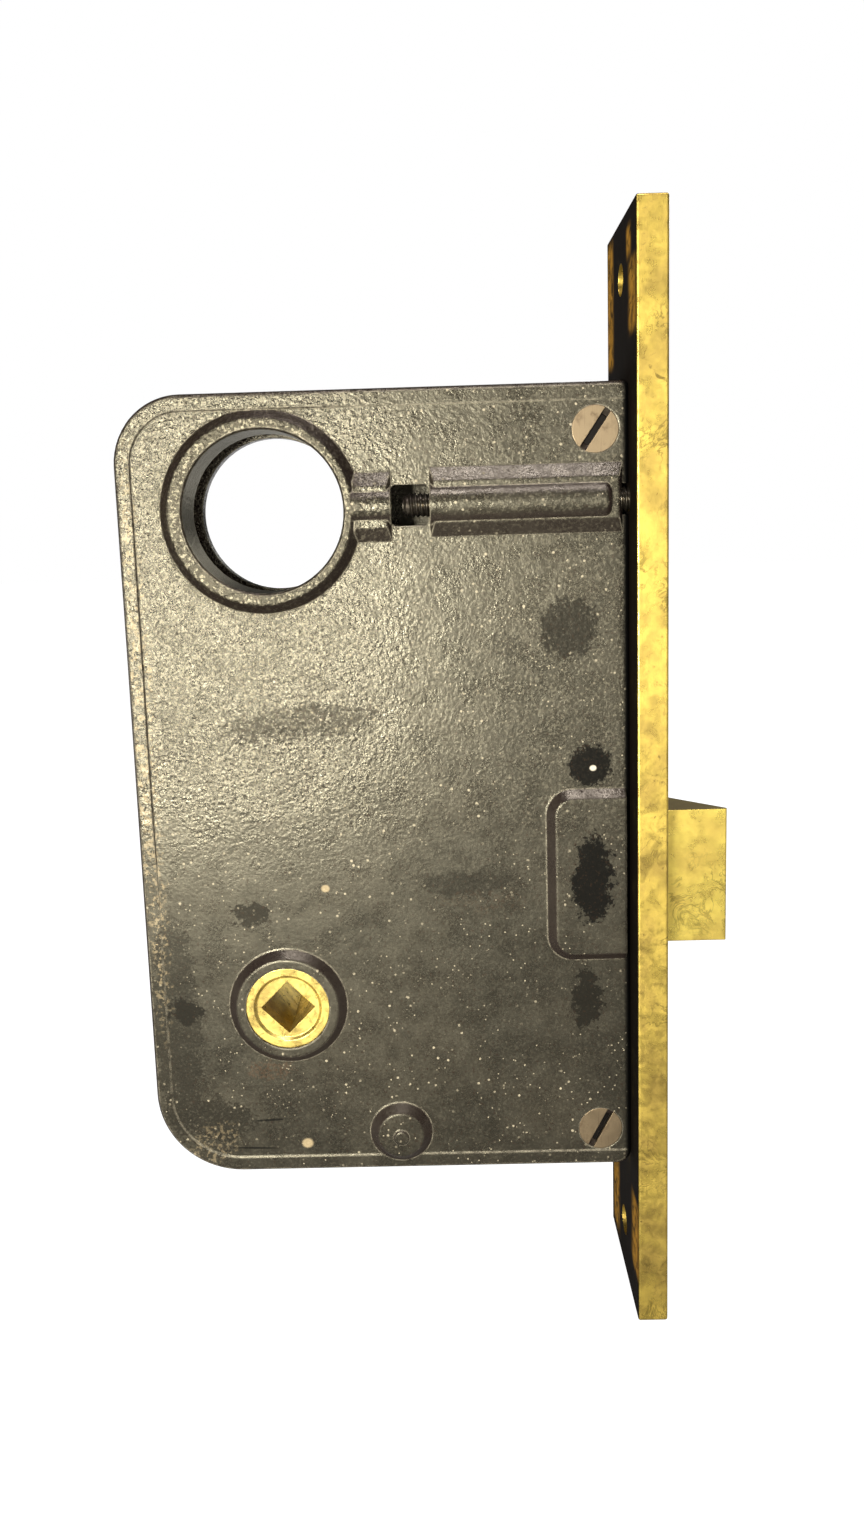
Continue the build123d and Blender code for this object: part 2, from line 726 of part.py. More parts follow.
def hub_spring():
    """The small coil spring that presses the hub lever forwards."""
    x_span = (edge_wall - case_depth, hub_lever_back - lever_side_gap)
    return coil_x(hub_spring_y, hub_spring_z, hub_spring_mean_r, hub_spring_wire_r, hub_spring_turns, x_span)


# ---- Cylinder lever -------------------------------------------------------------------------------------
def cylinder_lever():
    """The straight lever between the cylinder's cam and the tail, leaning as it does at rest."""
    half = cylinder_lever_width / 2
    profile = rectangle((-half, half), (-fork_end, 0)) + Circle(cylinder_lever_eye_r)
    tip_r = half - 0.4
    profile += make_face(Polyline((-half, 0), (half, 0), (tip_r, cylinder_lever_reach - tip_r),
                                  (-tip_r, cylinder_lever_reach - tip_r), close=True))
    profile += Pos(0, cylinder_lever_reach - tip_r) * Circle(tip_r)
    fork_half = drive_pin_r + fork_play
    profile -= rectangle((-fork_half, fork_half), (-fork_end - 1, -fork_root))
    profile -= Circle(stud_r + lever_hole_play)
    lever = across(profile, (far_lever_y, far_lever_y + lever_thickness))
    return Pos(backset_x, 0, cylinder_lever_z) * Rot(0, -cylinder_lever_lean, 0) * lever


def cylinder_lever_stud():
    """The shouldered pivot riveted into the case for the cylinder lever."""
    shoulder_y = far_lever_y - lever_side_gap / 2
    pivot = pin_y(backset_x, cylinder_lever_z, stud_r, (case_floor - stud_root, cap_seat - lever_side_gap))
    return pivot + pin_y(backset_x, cylinder_lever_z, stud_shoulder_r, (case_floor, shoulder_y))


# ---- Write every piece -----------------------------------------------------------------------------------
pieces = [
    case_body,
    case_cap,
    cap_screws,
    front_plate,
    lug_screws,
    cylinder_set_screw,
    latch_bolt,
    latch_bolt_pin,
    latch_tail,
    latch_crosshead,
    tail_drive_pin,
    tail_guide,
    spring_washer,
    latch_spring,
    hub,
    hub_lever,
    hub_lever_washer,
    hub_lever_stud,
    hub_spring,
    cylinder_lever,
    cylinder_lever_stud,
]

os.makedirs("parts", exist_ok=True)
for piece in pieces:
    made = piece()
    solid = Compound(children=list(made)) if isinstance(made, list) else made
    export_step(solid, f"parts/{piece.__name__}.step")
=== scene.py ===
import logging
import math
from dataclasses import dataclass, field
from enum import Enum
from typing import Any, Iterable, Optional, Sequence

import bpy
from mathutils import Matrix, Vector

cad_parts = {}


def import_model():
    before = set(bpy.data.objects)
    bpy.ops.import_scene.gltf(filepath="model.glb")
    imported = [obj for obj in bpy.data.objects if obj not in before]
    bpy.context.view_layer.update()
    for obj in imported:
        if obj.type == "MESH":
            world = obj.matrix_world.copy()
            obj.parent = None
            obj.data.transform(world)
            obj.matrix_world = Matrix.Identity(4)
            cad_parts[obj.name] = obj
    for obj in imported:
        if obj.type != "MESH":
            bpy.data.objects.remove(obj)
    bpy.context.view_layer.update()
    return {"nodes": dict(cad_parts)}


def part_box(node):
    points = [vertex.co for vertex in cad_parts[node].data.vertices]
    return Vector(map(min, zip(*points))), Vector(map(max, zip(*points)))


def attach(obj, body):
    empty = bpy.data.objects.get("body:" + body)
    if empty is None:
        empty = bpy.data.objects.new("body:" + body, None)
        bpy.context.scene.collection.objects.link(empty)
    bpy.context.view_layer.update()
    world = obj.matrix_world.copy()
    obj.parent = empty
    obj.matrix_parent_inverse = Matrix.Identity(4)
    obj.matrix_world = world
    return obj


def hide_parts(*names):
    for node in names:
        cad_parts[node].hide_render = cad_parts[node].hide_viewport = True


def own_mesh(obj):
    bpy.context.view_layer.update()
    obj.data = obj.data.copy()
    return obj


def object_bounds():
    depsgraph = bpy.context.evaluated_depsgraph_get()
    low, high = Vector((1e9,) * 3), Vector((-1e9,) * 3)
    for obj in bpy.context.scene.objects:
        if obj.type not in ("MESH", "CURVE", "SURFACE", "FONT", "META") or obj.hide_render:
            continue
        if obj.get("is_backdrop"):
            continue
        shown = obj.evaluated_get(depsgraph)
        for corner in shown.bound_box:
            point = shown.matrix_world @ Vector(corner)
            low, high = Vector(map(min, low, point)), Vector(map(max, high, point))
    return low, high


LOG = logging.getLogger("mortise_lock")
MM = 0.001

Colour = tuple[float, float, float]
Triple = tuple[float, float, float]


class Way(Enum):
    """A direction in the lock: which axis, and which end of it."""

    REAR = (0, -1.0)
    FRONT = (0, 1.0)
    NEAR = (1, -1.0)
    FAR = (1, 1.0)
    DOWN = (2, -1.0)
    UP = (2, 1.0)


class Graining(Enum):
    """How the fine lines of a metal run, as the stretch of its noise along X, Y and Z."""

    ALONG_X = (0.05, 1.0, 1.0)
    ALONG_Z = (1.0, 1.0, 0.05)
    NONE = (1.0, 1.0, 1.0)


# ---- Node sketching --------------------------------------------------------------------
class Sketch:
    """A material in the making: one Principled shader and short ways to add nodes before it."""

    def __init__(self, name: str) -> None:
        """Starts the material with its shader and its coordinates in millimetres.

        Args:
            name: The material's name.
        """
        self.material = bpy.data.materials.new(name)
        self.material.use_nodes = True
        self.tree = self.material.node_tree
        self.tree.nodes.clear()
        self.shader = self.add("ShaderNodeBsdfPrincipled")
        output = self.add("ShaderNodeOutputMaterial")
        self.tree.links.new(self.shader.outputs["BSDF"], output.inputs["Surface"])
        coordinates = self.add("ShaderNodeTexCoord")
        self.place = self.mapped(coordinates.outputs["Object"], scale=(1 / MM,) * 3)
        split = self.add("ShaderNodeSeparateXYZ")
        self.put(split, 0, coordinates.outputs["Normal"])
        self.normal_parts = split.outputs
        split = self.add("ShaderNodeSeparateXYZ")
        self.put(split, 0, self.place)
        self.place_parts = split.outputs

    def add(self, kind: str, **settings: Any) -> bpy.types.Node:
        """Adds a node.

        Args:
            kind: Blender's name for the node type.
            settings: Properties to set on it.

        Returns:
            The node.
        """
        node = self.tree.nodes.new(kind)
        for key, value in settings.items():
            setattr(node, key, value)
        return node

    def put(self, node: bpy.types.Node, socket: Any, value: Any) -> None:
        """Links a socket's value to an input, or sets a plain value on it.

        Args:
            node: The node that has the input.
            socket: The input's name or number.
            value: A socket, a number, or three numbers.
        """
        target = node.inputs[socket]
        if isinstance(value, bpy.types.NodeSocket):
            self.tree.links.new(value, target)
        elif isinstance(value, (tuple, list)) and target.type == "RGBA":
            target.default_value = (*value, 1.0)
        else:
            target.default_value = value

    def mapped(self, source: Any, shift: Triple = (0, 0, 0), turn: Triple = (0, 0, 0),
               scale: Triple = (1, 1, 1)) -> Any:
        """Moves, turns and scales coordinates.

        Args:
            source: The coordinates.
            shift: The move, in the source's units, after the scale.
            turn: Turns about X, Y and Z in radians.
            scale: The factor on each axis.

        Returns:
            The new coordinates.
        """
        node = self.add("ShaderNodeMapping")
        self.put(node, "Vector", source)
        self.put(node, "Location", shift)
        self.put(node, "Rotation", turn)
        self.put(node, "Scale", scale)
        return node.outputs["Vector"]

    def noise(self, size: float, detail: float = 3.0, rough: float = 0.55,
              stretch: Triple = (1, 1, 1), seed: float = 0.0, wander: float = 0.0) -> Any:
        """Cloudy noise.

        Args:
            size: The size of its clouds in millimetres.
            detail: Octaves of finer noise.
            rough: How strong the finer octaves are.
            stretch: Factors on the axes; under 1 draws the clouds out.
            seed: A shift that makes it differ from other noise of the same size.
            wander: Blender's distortion.

        Returns:
            Its factor, about 0.2 to 0.8.
        """
        scale = tuple(part / size for part in stretch)
        node = self.add("ShaderNodeTexNoise")
        shift = (seed, seed * 0.7, seed * 1.3)
        self.put(node, "Vector", self.mapped(self.place, shift, scale=scale))
        self.put(node, "Scale", 1.0)
        self.put(node, "Detail", detail)
        self.put(node, "Roughness", rough)
        self.put(node, "Distortion", wander)
        return node.outputs[0]

    def cells(self, size: float, seed: float = 0.0) -> Any:
        """Distance to the nearest of many scattered points.

        Args:
            size: How far apart the points are in millimetres.
            seed: A shift of the pattern.

        Returns:
            The distance as a share of the size.
        """
        node = self.add("ShaderNodeTexVoronoi")
        self.put(node, "Vector", self.mapped(self.place, (seed,) * 3, scale=(1 / size,) * 3))
        self.put(node, "Scale", 1.0)
        return node.outputs["Distance"]

    def level(self, value: Any, low: float, high: float, start: float = 0.0,
              end: float = 1.0) -> Any:
        """Turns low to high into start to end, smoothly and no further.

        Args:
            value: The value to turn.
            low: The input that gives start.
            high: The input that gives end.
            start: The first result.
            end: The last result.

        Returns:
            The result.
        """
        node = self.add("ShaderNodeMapRange", interpolation_type="SMOOTHSTEP")
        for socket, number in zip(("Value", "From Min", "From Max", "To Min", "To Max"),
                                  (value, low, high, start, end)):
            self.put(node, socket, number)
        return node.outputs["Result"]

    def sum(self, operation: str, first: Any, second: Any = 0.0) -> Any:
        """Works out one sum.

        Args:
            operation: Blender's name for it, such as MULTIPLY.
            first: The first value.
            second: The second value.

        Returns:
            The result.
        """
        node = self.add("ShaderNodeMath", operation=operation)
        self.put(node, 0, first)
        self.put(node, 1, second)
        return node.outputs[0]

    def every(self, *masks: Any) -> Any:
        """Finds where all the masks hold.

        Args:
            masks: The masks.

        Returns:
            Their product.
        """
        result = masks[0]
        for mask in masks[1:]:
            result = self.sum("MULTIPLY", result, mask)
        return result

    def blend(self, mask: Any, under: Any, over: Any) -> Any:
        """Lays one colour over another.

        Args:
            mask: How much of the upper colour shows.
            under: The lower colour.
            over: The upper colour.

        Returns:
            The mixed colour.
        """
        node = self.add("ShaderNodeMix", data_type="RGBA")
        self.put(node, 0, mask)
        self.put(node, 6, under)
        self.put(node, 7, over)
        return node.outputs[2]

    def facing(self, way: Way, low: float = 0.55, high: float = 0.85) -> Any:
        """Where the surface faces one way.

        Args:
            way: The direction.
            low: The part of the normal along it at which the mask starts.
            high: The part at which it is full.

        Returns:
            The mask.
        """
        axis, sign = way.value
        return self.level(self.normal_parts[axis], sign * low, sign * high)

    def between(self, axis: int, low: float, high: float, soft: float) -> Any:
        """Where a coordinate lies between two values.

        Args:
            axis: 0, 1 or 2.
            low: The lower value in millimetres.
            high: The upper value in millimetres.
            soft: How far the mask fades beyond them.

        Returns:
            The mask.
        """
        part = self.place_parts[axis]
        return self.every(self.level(part, low - soft, low), self.level(part, high + soft, high))

    def round_about(self, centre: Triple, across: Triple, inner: float, outer: float) -> Any:
        """Where a point is near an axis.

        Args:
            centre: A point of the axis in millimetres.
            across: 1 for the two directions across the axis and 0 for the one along it.
            inner: The radius at which the mask is full.
            outer: The radius at which it ends.

        Returns:
            The mask.
        """
        shift = tuple(-part * used for part, used in zip(centre, across))
        flat = self.mapped(self.place, shift, scale=across)
        length = self.add("ShaderNodeVectorMath", operation="LENGTH")
        self.put(length, 0, flat)
        return self.level(length.outputs["Value"], outer, inner)

    def rounded(self, radius: float) -> Any:
        """The normal as it would be with every edge and inner corner slightly rounded.

        Args:
            radius: The rounding in millimetres.

        Returns:
            The normal.
        """
        node = self.add("ShaderNodeBevel", samples=6)
        self.put(node, "Radius", radius * MM)
        return node.outputs["Normal"]

    def edges(self, radius: float, low: float, high: float) -> Any:
        """Where an edge or an inner corner is near.

        Args:
            radius: How near, in millimetres.
            low: How much the rounded normal must turn for the mask to start, from 0 to 1.
            high: How much it turns where the mask is full.

        Returns:
            The mask.
        """
        turned = self.add("ShaderNodeVectorMath", operation="DOT_PRODUCT")
        self.put(turned, 0, self.rounded(radius))
        self.put(turned, 1, self.add("ShaderNodeNewGeometry").outputs["Normal"])
        return self.level(turned.outputs["Value"], 1.0 - low, 1.0 - high)

    def bump(self, height: Any, distance: float, under: Optional[Any] = None) -> Any:
        """Raises the surface's shading by a height.

        Args:
            height: The height as a share of the distance.
            distance: The full height in millimetres.
            under: Another bump that this one lies on.

        Returns:
            The bumped normal.
        """
        node = self.add("ShaderNodeBump")
        self.put(node, "Strength", 1.0)
        self.put(node, "Distance", distance * MM)
        self.put(node, "Height", height)
        if under is not None:
            self.put(node, "Normal", under)
        return node.outputs["Normal"]

    def finish(self, colour: Any, rough: Any, normal: Any, **fixed: Any) -> bpy.types.Material:
        """Joins everything to the shader.

        Args:
            colour: The base colour.
            rough: The roughness.
            normal: The bumped normal.
            fixed: Values that are the same all over, by socket name with _ for spaces.

        Returns:
            The finished material.
        """
        self.put(self.shader, "Base Color", colour)
        self.put(self.shader, "Roughness", rough)
        self.put(self.shader, "Normal", normal)
        for key, value in fixed.items():
            self.put(self.shader, key.replace("_", " "), value)
        return self.material


# ---- Finishes --------------------------------------------------------------------------
@dataclass(frozen=True)
class Mark:
    """One soft-edged mark on a surface, in millimetres across X and Z."""

    x: float
    z: float
    half_x: float
    half_z: float
    colour: Colour
    strength: float = 1.0
    turn: float = 0.0
    broken: bool = False


@dataclass(frozen=True)
class Japan:
    """Glossy black japan on sand-cast iron, with sizes and heights in millimetres.

    It is pebbly where it is thick, and worn to olive brown elsewhere.
    """

    name: str
    thick: Colour = (0.014, 0.011, 0.006)
    thin: Colour = (0.005, 0.0043, 0.0028)
    worn: Colour = (0.021, 0.0175, 0.011)
    slope_shade: Colour = (0.016, 0.010, 0.008)
    chip: Colour = (0.34, 0.285, 0.18)
    painted_shade: Colour = (0.004, 0.004, 0.004)
    edge_wear_and_glint: Colour = (0.26, 0.225, 0.15)
    glint: Colour = (0.27, 0.235, 0.15)
    drift_size: float = 16.0
    cloud_size: float = 3.4
    grain_size: float = 0.34
    glint_size: float = 0.60
    speck_spacing: float = 2.1
    fine_speck_spacing: float = 1.1
    pebble_size: float = 0.80
    pebble_height: float = 0.24
    pit_size: float = 0.30
    wave_size: float = 7.0
    wave_height: float = 0.12
    edge_round: float = 0.55
    edge_wear_and_glint_reach: float = 0.42
    plain_rough: float = 0.25
    pebbly_rough: float = 0.13
    smudge_and_shade_rough: float = 0.7
    smudge_and_shade_depth: float = 0.95
    seed: float = 0.0
    mark_wander: float = 6.0
    small_mark: float = 1.4
    thin_mark: float = 0.5
    marks: tuple[Mark, ...] = ()
    out: Way = Way.NEAR
    shaded_bores: tuple[Triple, ...] = ()
    shaded_bore_fade: float = 0.15
    shaded_rings: tuple[Triple, ...] = ()
    ring_shade: float = 0.45
    ring_fade: float = 1.5
    pebbly_up: tuple[float, float] = (-22.0, 14.0)
    pebbly_back: tuple[float, float] = (-22.0, -62.0)
    shaded_front: tuple[float, float] = (-1.5, -0.5)

    def material(self) -> bpy.types.Material:
        """Makes the material.

        Returns:
            The finished material.
        """
        s = Sketch(self.name)
        face = s.facing(self.out, 0.80, 0.985)
        rear = s.level(s.place_parts[0], *self.pebbly_back)
        high = s.level(s.place_parts[2], *self.pebbly_up)
        pebbly = s.every(high, s.sum("MAXIMUM", rear, 0.30))
        grain = s.noise(self.grain_size, 3, 0.7, seed=self.seed)
        drift = s.noise(self.drift_size, 3, seed=self.seed + 3)
        specks = self.specks(s, drift)
        colour = self.coat(s, face, pebbly, grain, drift)
        colour = s.blend(s.every(specks, face), colour, self.chip)
        colour, smudged = self.marked(s, colour, face)
        # painted shade: the walls inside the cylinder bore are darkened to near black
        for x, z, radius in self.shaded_bores:
            inside = s.round_about((x, 0, z), (1, 0, 1), radius, radius + self.shaded_bore_fade)
            wall = s.every(inside, s.sum("SUBTRACT", 1.0, face))
            colour = s.blend(wall, colour, self.painted_shade)
        # Edge wear and painted glints: pale lines along edges and inner corners, broken up by
        # noise.
        edge_breakup = s.noise(1.4, 4, 0.65, seed=self.seed + 12)
        rubbed = s.every(s.edges(self.edge_wear_and_glint_reach, 0.010, 0.045),
                         s.level(edge_breakup, 0.36, 0.58, 0.15, 0.9))
        colour = s.blend(rubbed, colour, self.edge_wear_and_glint)
        # painted shade: the case's edge beside the brass front is darkened to near black, for the
        # shade in the gap between them
        shaded = s.level(s.place_parts[0], *self.shaded_front)
        colour = s.blend(shaded, colour, self.painted_shade)
        # The dark smudges and the painted shade are made dull and black together: metallic over a
        # near-black colour mirrors almost nothing.
        smudge_and_shade = s.sum("MAXIMUM", smudged, shaded)
        # painted shade: the ring round the cylinder bore is darkened by dulling its reflection
        for x, z, radius in self.shaded_rings:
            around = s.round_about((x, 0, z), (1, 0, 1), radius, radius + self.ring_fade)
            smudge_and_shade = s.sum("MAXIMUM", smudge_and_shade, s.every(around, self.ring_shade))
        dull = s.level(s.noise(5.0, 4, 0.6, seed=self.seed + 8), 0.35, 0.65, 0.0, 0.12)
        rough = s.sum("ADD", s.level(pebbly, 0.0, 1.0, self.plain_rough, self.pebbly_rough), dull)
        rough = s.sum("ADD", rough, s.level(grain, 0.50, 0.36, 0.0, 0.20))
        rough = s.sum("ADD", rough, s.every(specks, 0.25))
        rough = s.sum("MAXIMUM", rough, s.every(smudge_and_shade, self.smudge_and_shade_rough))
        s.put(s.shader, "Metallic", s.every(smudge_and_shade, self.smudge_and_shade_depth))
        return s.finish(colour, rough, self.relief(s, pebbly), IOR=1.55, Specular_IOR_Level=0.62,
                        Specular_Tint=(1.0, 0.90, 0.62))

    def specks(self, s: Sketch, drift: Any) -> Any:
        """Scatters the small chips in which bare casting shows.

        Args:
            s: The material in the making.
            drift: The broad clouds that they follow.

        Returns:
            The mask of the chips.
        """
        large = s.every(s.level(s.cells(self.speck_spacing, self.seed), 0.15, 0.08),
                        s.level(drift, 0.36, 0.60))
        small = s.every(s.level(s.cells(self.fine_speck_spacing, self.seed + 4), 0.17, 0.08),
                        s.level(s.noise(7.0, 3, seed=self.seed + 5), 0.44, 0.60))
        return s.sum("MAXIMUM", large, small)

    def coat(self, s: Sketch, face: Any, pebbly: Any, grain: Any, drift: Any) -> Any:
        """Mixes the colour of the coat itself, with painted glints and painted shade on the slopes.

        Args:
            s: The material in the making.
            face: The mask of the flat face.
            pebbly: Where the coat is thick and pebbly.
            grain: The finest noise.
            drift: The broadest noise.

        Returns:
            The colour, before chips, marks, worn edges with painted glints, and painted shade.
        """
        colour = s.blend(s.level(drift, 0.35, 0.65), self.thin, self.worn)
        colour = s.blend(pebbly, colour, self.thick)
        cloud = s.noise(self.cloud_size, 4, 0.6, seed=self.seed + 9)
        colour = s.blend(s.level(cloud, 0.47, 0.30, 0, 0.75), colour, self.thin)
        colour = s.blend(s.level(grain, 0.50, 0.66, 0, 0.75), colour, self.worn)
        colour = s.blend(s.level(grain, 0.46, 0.34, 0, 0.75), colour, self.thin)
        # painted glints: bright beige dots, most of them in the pebbly part, stand for the glitter
        # of its pebbles
        glints = s.level(s.noise(self.glint_size, 2, 0.6, seed=self.seed + 14), 0.52, 0.62)
        share = s.sum("ADD", s.every(pebbly, 0.5), 0.06)
        colour = s.blend(s.every(glints, share), colour, self.glint)
        # painted shade: faces that turn away from the flat face are tinted dark brown
        return s.blend(s.level(face, 1.0, 0.0, 0.0, 0.8), colour, self.slope_shade)

    def relief(self, s: Sketch, pebbly: Any) -> Any:
        """Shapes the surface: rounded edges, slow waves, and pebbles with pits between.

        Args:
            s: The material in the making.
            pebbly: Where the coat is thick and pebbly.

        Returns:
            The bumped normal.
        """
        pebbles = s.noise(self.pebble_size, 3, 0.6, seed=self.seed + 1)
        pits = s.noise(self.pit_size, 2, seed=self.seed + 2)
        waves = s.noise(self.wave_size, 1, seed=self.seed + 6)
        strength = s.sum("ADD", s.sum("MULTIPLY", pebbly, 0.86), 0.14)
        height = s.sum("ADD", s.every(pebbles, strength),
                       s.every(pits, s.sum("MULTIPLY", strength, 0.30)))
        normal = s.bump(waves, self.wave_height, s.rounded(self.edge_round))
        return s.bump(height, self.pebble_height, normal)

    def marked(self, s: Sketch, colour: Any, face: Any) -> tuple[Any, Any]:
        """Lays the marks over a colour, with edges that wander.

        Args:
            s: The material in the making.
            colour: The colour under the marks.
            face: The mask of the face they lie on.

        Returns:
            The colour with the marks, and where the dull dark ones are.
        """
        wander = s.add("ShaderNodeTexNoise")
        s.put(wander, "Vector", s.place)
        s.put(wander, "Scale", 0.55)
        s.put(wander, "Detail", 4.0)
        moved = s.add("ShaderNodeVectorMath", operation="MULTIPLY_ADD")
        s.put(moved, 0, wander.outputs["Color"])
        s.put(moved, 1, (self.mark_wander,) * 3)
        s.put(moved, 2, s.mapped(s.place, (-self.mark_wander / 2,) * 3))
        broken = s.level(s.noise(0.9, 4, 0.65, seed=21), 0.50, 0.58)
        grit = s.level(s.noise(0.55, 4, 0.7, seed=23), 0.30, 0.70, 0.0, 0.75)
        smudged: Any = 0.0
        for mark in self.marks:
            crisp = max(mark.half_x, mark.half_z) < self.small_mark or mark.half_z < self.thin_mark
            source = s.place if crisp else moved.outputs[0]
            centred = s.mapped(source, (-mark.x, 0, -mark.z))
            turned = s.mapped(centred, turn=(0, mark.turn, 0))
            scaled = s.mapped(turned, scale=(1 / mark.half_x, 0, 1 / mark.half_z))
            length = s.add("ShaderNodeVectorMath", operation="LENGTH")
            s.put(length, 0, scaled)
            mask = s.level(length.outputs["Value"], 1.1, 0.60, 0, mark.strength)
            if mark.broken:
                mask = s.every(mask, broken)
            elif not crisp:
                mask = s.every(s.level(s.sum("ADD", mask, grit), 0.55, 0.95), mark.strength)
            colour = s.blend(s.every(mask, face), colour, mark.colour)
            if max(mark.colour) < 0.02:
                smudged = s.sum("MAXIMUM", smudged, mask)
        return colour, smudged


@dataclass(frozen=True)
class Brass:
    """Aged brass: bright where rubbed, tarnished in clouds and veins, darker on chosen sides."""

    name: str
    bright: Colour = (0.62, 0.445, 0.085)
    dull: Colour = (0.40, 0.275, 0.060)
    tarnish_and_shade: Colour = (0.007, 0.0045, 0.0025)
    graining: Graining = Graining.ALONG_Z
    mottle: float = 2.6
    tarnish_low: float = 0.62
    dark_ways: tuple[tuple[Way, float], ...] = ()
    amber_bands: tuple[tuple[float, float, float, float], ...] = ()
    amber: Colour = (0.40, 0.20, 0.022)
    rough: tuple[float, float] = (0.26, 0.50)
    seed: float = 0.0
    metallic: float = 0.9

    def material(self) -> bpy.types.Material:
        """Makes the material.

        Returns:
            The finished material.
        """
        s = Sketch(self.name)
        clouds = s.noise(self.mottle * 3, 5, 0.62, seed=self.seed)
        fine = s.noise(self.mottle, 5, 0.65, seed=self.seed + 5, wander=0.6)
        lines = s.noise(0.28, 3, 0.6, stretch=self.graining.value, seed=self.seed + 7)
        colour = s.blend(s.level(clouds, 0.38, 0.64), self.bright, self.dull)
        colour = s.blend(s.level(fine, 0.52, 0.68, 0, 0.55), colour, self.dull)
        colour = s.blend(s.level(lines, 0.55, 0.75, 0, 0.35), colour, self.dull)
        winding = s.noise(self.mottle * 2.2, 5, 0.6, seed=self.seed + 11, wander=1.2)
        veins = s.sum("ABSOLUTE", s.sum("SUBTRACT", winding, 0.5))
        patches = s.level(s.noise(self.mottle * 4, 3, seed=self.seed + 13), 0.46, 0.62)
        dark = s.every(s.level(veins, 0.035, 0.0, 0, 0.55), patches)
        spots = s.level(fine, self.tarnish_low, self.tarnish_low + 0.10, 0, 0.6)
        dark = s.sum("MAXIMUM", dark, spots)
        colour = s.blend(dark, colour, self.tarnish_and_shade)
        # Darkens the faces that face the chosen ways; on the latch bolt this is painted shade on
        # its top and bottom.
        for way, amount in self.dark_ways:
            side = s.every(s.facing(way), s.level(clouds, 0.20, 0.45, amount * 0.96, amount))
            colour = s.blend(side, colour, self.tarnish_and_shade)
        for y, half, low, high in self.amber_bands:
            band = s.every(s.facing(Way.REAR), s.between(1, y - half / 3, y + half / 3, half),
                           s.between(2, low, high, 2.5), s.level(fine, 0.70, 0.40))
            colour = s.blend(band, colour, self.amber)
        normal = s.bump(s.noise(self.mottle, 3, seed=self.seed + 2), 0.030, s.rounded(0.25))
        normal = s.bump(lines, 0.006, normal)
        rough = s.sum("ADD", s.level(fine, 0.35, 0.65, *self.rough), s.every(dark, 0.2))
        for way, amount in self.dark_ways:
            rough = s.sum("MAXIMUM", rough, s.every(s.facing(way), amount * 0.88))
        return s.finish(colour, rough, normal, Metallic=self.metallic, Specular_IOR_Level=0.35)


@dataclass(frozen=True)
class Steel:
    """Old machined or stamped steel, oiled, with brown staining and fine lines."""

    name: str
    bright: Colour = (0.34, 0.325, 0.30)
    stain: Colour = (0.11, 0.080, 0.055)
    graining: Graining = Graining.ALONG_X
    stain_from: float = 0.48
    rough: tuple[float, float] = (0.28, 0.52)
    slot_from: Optional[float] = None
    slot: Colour = (0.010, 0.008, 0.006)
    seed: float = 0.0
    metallic: float = 0.92

    def material(self) -> bpy.types.Material:
        """Makes the material.

        Returns:
            The finished material.
        """
        s = Sketch(self.name)
        clouds = s.noise(3.2, 5, 0.62, seed=self.seed)
        lines = s.noise(0.24, 3, stretch=self.graining.value, seed=self.seed + 3)
        stained = s.level(clouds, self.stain_from, self.stain_from + 0.16, 0, 0.85)
        colour = s.blend(stained, self.bright, self.stain)
        colour = s.blend(s.level(lines, 0.56, 0.74, 0, 0.45), colour, self.stain)
        # painted shade: the screwdriver slot's floor, and all that lies deeper, is darkened to near
        # black
        if self.slot_from is not None:
            depth = s.sum("ABSOLUTE", s.place_parts[1])
            slot_shade = s.level(depth, self.slot_from, self.slot_from - 0.35)
            colour = s.blend(slot_shade, colour, self.slot)
        normal = s.bump(clouds, 0.02, s.rounded(0.15))
        normal = s.bump(lines, 0.006, normal)
        rough = s.sum("ADD", s.level(clouds, 0.35, 0.65, *self.rough), s.every(stained, 0.08))
        return s.finish(colour, rough, normal, Metallic=self.metallic)


# ---- Modelling by hand -----------------------------------------------------------------
def deselect_all() -> None:
    """Leaves nothing selected and nothing in edit mode."""
    if bpy.context.object and bpy.context.object.mode != "OBJECT":
        bpy.ops.object.mode_set(mode="OBJECT")
    bpy.ops.object.select_all(action="DESELECT")


def select_where(piece: bpy.types.Object, test: Any) -> None:
    """Selects the vertices of the piece, in edit mode, that pass a test.

    Args:
        piece: The piece.
        test: Called with a vertex's place; true selects it.
    """
    bpy.ops.object.mode_set(mode="OBJECT")
    for part in (piece.data.polygons, piece.data.edges, piece.data.vertices):
        for one in part:
            one.select = False
    for vertex in piece.data.vertices:
        vertex.select = bool(test(vertex.co))
    bpy.ops.object.mode_set(mode="EDIT")
    bpy.ops.mesh.select_mode(type="VERT")


def name_piece(name: str) -> bpy.types.Object:
    """Names the active object and its mesh.

    Args:
        name: The new name.

    Returns:
        The object.
    """
    piece = bpy.context.object
    piece.name = name
    piece.data.name = name
    return piece


def settle(piece: bpy.types.Object) -> None:
    """Applies a piece's place, turn and scale to its mesh.

    Args:
        piece: The piece.
    """
    deselect_all()
    piece.select_set(True)
    bpy.context.view_layer.objects.active = piece
    bpy.ops.object.transform_apply(location=True, rotation=True, scale=True)


def smooth(piece: bpy.types.Object, degrees: float = 35.0) -> None:
    """Shades a piece smooth but for its sharp edges.

    Args:
        piece: The piece.
        degrees: The angle from which an edge stays sharp.
    """
    deselect_all()
    piece.select_set(True)
    bpy.context.view_layer.objects.active = piece
    bpy.ops.object.shade_smooth_by_angle(angle=math.radians(degrees))


